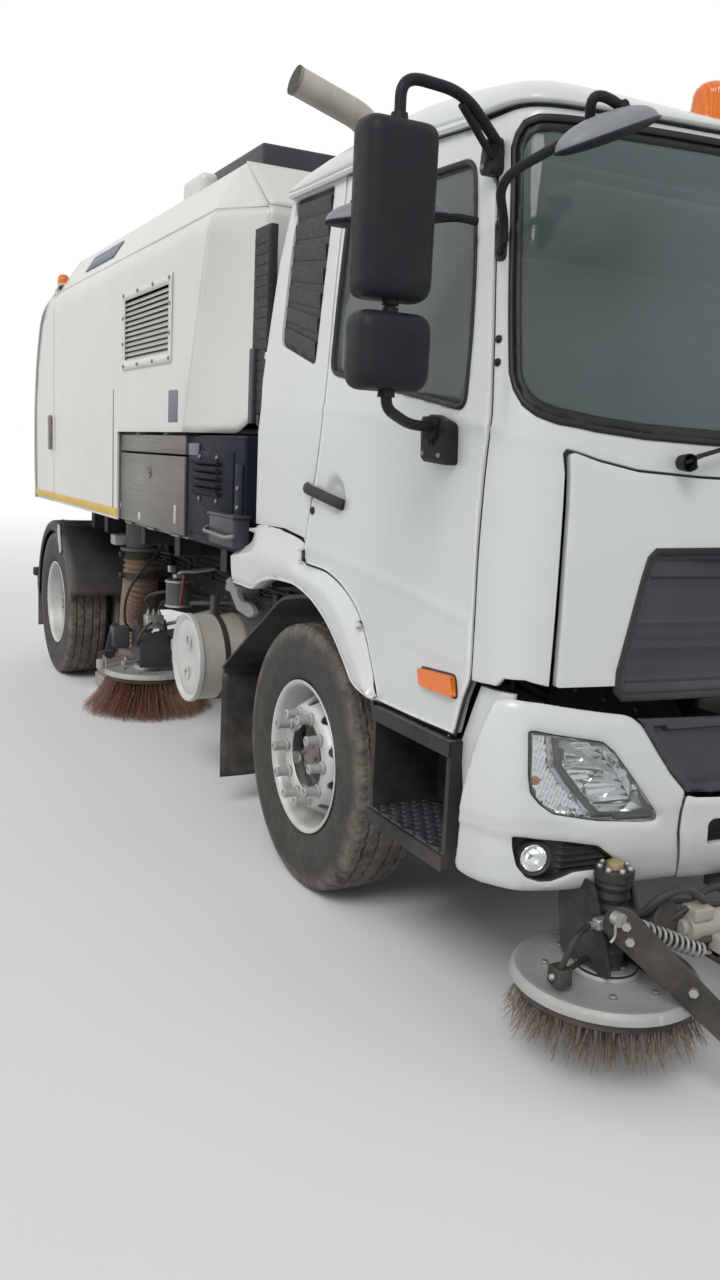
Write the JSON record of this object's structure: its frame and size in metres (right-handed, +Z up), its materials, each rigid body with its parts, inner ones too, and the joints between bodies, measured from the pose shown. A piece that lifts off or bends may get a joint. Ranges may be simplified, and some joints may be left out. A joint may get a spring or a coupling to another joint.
{
  "type": "street sweeper truck",
  "caption": "Two-axle cab-over truck with a tipping sweeper body, suction nozzle, side brush and front brush on swing arms, steerable wheels, opening doors and tailgate",
  "frame": {"origin": "on the ground plane, at the middle of the overall length and width", "axes": "+Z up; the cab faces -Y; the truck's right side is -X; metres"},
  "size_m": [3.2, 6.885, 3.2074],
  "materials": {
    "white_paint": "gloss",
    "frame_paint": "satin",
    "navy_paint": "satin",
    "pale_grey_paint": "satin",
    "black_plastic": "matte",
    "interior_plastic": "matte",
    "tyre": "matte",
    "wheel_paint": "satin",
    "steel": "satin",
    "cast": "rough",
    "glass": "clear",
    "lamp": "clear",
    "amber": "clear",
    "red_lamp": "clear",
    "hose": "matte",
    "bristle": "matte"
  },
  "bodies": {
    "chassis": {"chassis_frame": "frame_paint", "leaf_springs": "frame_paint", "front_axle": "frame_paint", "rear_axle": "frame_paint", "front_bumper": "white_paint", "front_lamps": "lamp", "step_wells": "black_plastic", "step_fillers": "black_plastic", "engine_blocks": "cast", "sub_frame": "frame_paint", "service_housing": "navy_paint", "tool_cabinets": "steel", "exhaust_stack": "pale_grey_paint", "silencer_drum": "pale_grey_paint", "tanks": "steel", "mudguards": "black_plastic", "suction_tube": "hose", "suction_nozzle": "black_plastic", "rear_lamps": "red_lamp", "brush_post": "frame_paint", "front_post": "frame_paint"},
    "cab": {"cab_front": "white_paint", "cab_roof": "white_paint", "cab_back_wall": "white_paint", "cab_sides": "white_paint", "cab_floor": "black_plastic", "cab_fenders": "white_paint", "windscreen": "glass", "front_trim": "black_plastic", "cab_interior": "interior_plastic", "roof_beacon": "amber", "front_view_mirror": "black_plastic"},
    "door_left_body": {"door_left": "white_paint", "door_glass_left": "glass", "mirrors_left": "black_plastic"},
    "door_right_body": {"door_right": "white_paint", "door_glass_right": "glass", "mirrors_right": "black_plastic"},
    "knuckle_left_body": {"knuckle_left": "cast"},
    "knuckle_right_body": {"knuckle_right": "cast"},
    "tie_rod_body": {"tie_rod": "frame_paint"},
    "wheel_front_left": {"front_tyre_left": "tyre", "front_wheel_left": "wheel_paint"},
    "wheel_front_right": {"front_tyre_right": "tyre", "front_wheel_right": "wheel_paint"},
    "wheels_rear_left": {"rear_tyres_left": "tyre", "rear_wheels_left": "wheel_paint"},
    "wheels_rear_right": {"rear_tyres_right": "tyre", "rear_wheels_right": "wheel_paint"},
    "hopper": {"hopper_shell": "white_paint", "hopper_duct": "black_plastic"},
    "tailgate_body": {"tailgate": "white_paint"},
    "cabinet_door_left_body": {"cabinet_door_left": "steel"},
    "cabinet_door_right_body": {"cabinet_door_right": "steel"},
    "side_arm": {"side_brush_arm": "frame_paint"},
    "side_brush_body": {"side_brush": "bristle"},
    "front_arm": {"front_brush_arm": "frame_paint"},
    "front_brush_body": {"front_brush": "bristle"}
  },
  "joints": [
    {"name": "cab_tilt", "type": "hinge", "parent": "chassis", "child": "cab", "pos_m": [0, -2.92, 0.8], "axis": [1, 0, 0], "range_deg": [0, 45]},
    {"name": "door_left", "type": "hinge", "parent": "cab", "child": "door_left_body", "pos_m": [1.189, -2.74, 1.7], "axis": [0, 0, -1], "range_deg": [0, 60]},
    {"name": "door_right", "type": "hinge", "parent": "cab", "child": "door_right_body", "pos_m": [-1.189, -2.74, 1.7], "axis": [0, 0, 1], "range_deg": [0, 60]},
    {"name": "steer_left", "type": "hinge", "parent": "chassis", "child": "knuckle_left_body", "pos_m": [0.84, -1.55, 0.52], "axis": [0, 0, 1], "range_deg": [-35, 35]},
    {"name": "steer_right", "type": "hinge", "parent": "chassis", "child": "knuckle_right_body", "pos_m": [-0.84, -1.55, 0.52], "axis": [0, 0, 1], "range_deg": [-35, 35]},
    {"name": "tie_rod_swing", "type": "hinge", "parent": "knuckle_left_body", "child": "tie_rod_body", "pos_m": [0.84, -1.32, 0.428], "axis": [0, 0, 1], "range_deg": [-35, 35]},
    {"name": "spin_front_left", "type": "hinge", "parent": "knuckle_left_body", "child": "wheel_front_left", "pos_m": [1.015, -1.55, 0.52], "axis": [1, 0, 0], "continuous": true},
    {"name": "spin_front_right", "type": "hinge", "parent": "knuckle_right_body", "child": "wheel_front_right", "pos_m": [-1.015, -1.55, 0.52], "axis": [1, 0, 0], "continuous": true},
    {"name": "spin_rear_left", "type": "hinge", "parent": "chassis", "child": "wheels_rear_left", "pos_m": [0.92, 2.7, 0.52], "axis": [1, 0, 0], "continuous": true},
    {"name": "spin_rear_right", "type": "hinge", "parent": "chassis", "child": "wheels_rear_right", "pos_m": [-0.92, 2.7, 0.52], "axis": [1, 0, 0], "continuous": true},
    {"name": "body_tip", "type": "hinge", "parent": "chassis", "child": "hopper", "pos_m": [0, 2.9, 1.15], "axis": [-1, 0, 0], "range_deg": [0, 48]},
    {"name": "tailgate_lift", "type": "hinge", "parent": "hopper", "child": "tailgate_body", "pos_m": [0, 2.6, 2.935], "axis": [1, 0, 0], "range_deg": [0, 80]},
    {"name": "cabinet_left", "type": "hinge", "parent": "chassis", "child": "cabinet_door_left_body", "pos_m": [1.202, 0.29, 1.252], "axis": [0, 1, 0], "range_deg": [0, 85]},
    {"name": "cabinet_right", "type": "hinge", "parent": "chassis", "child": "cabinet_door_right_body", "pos_m": [-1.202, 0.29, 1.252], "axis": [0, -1, 0], "range_deg": [0, 85]},
    {"name": "side_arm_swing", "type": "hinge", "parent": "chassis", "child": "side_arm", "pos_m": [-0.52, 0.75, 0.64], "axis": [0, 0, 1], "range_deg": [0, 25]},
    {"name": "side_brush_spin", "type": "hinge", "parent": "side_arm", "child": "side_brush_body", "pos_m": [-0.88, 1.42, 0.33], "axis": [0, 0, 1], "continuous": true},
    {"name": "front_arm_swing", "type": "hinge", "parent": "chassis", "child": "front_arm", "pos_m": [-0.33, -3.2, 0.365], "axis": [0, 0, 1], "range_deg": [-10, 30]},
    {"name": "front_brush_spin", "type": "hinge", "parent": "front_arm", "child": "front_brush_body", "pos_m": [-0.85, -3.03, 0.33], "axis": [0, 0, 1], "continuous": true}
  ],
  "couplings": [
    {"joint": "steer_right", "follows": "steer_left", "ratio": 1},
    {"joint": "tie_rod_swing", "follows": "steer_left", "ratio": -1}
  ]
}
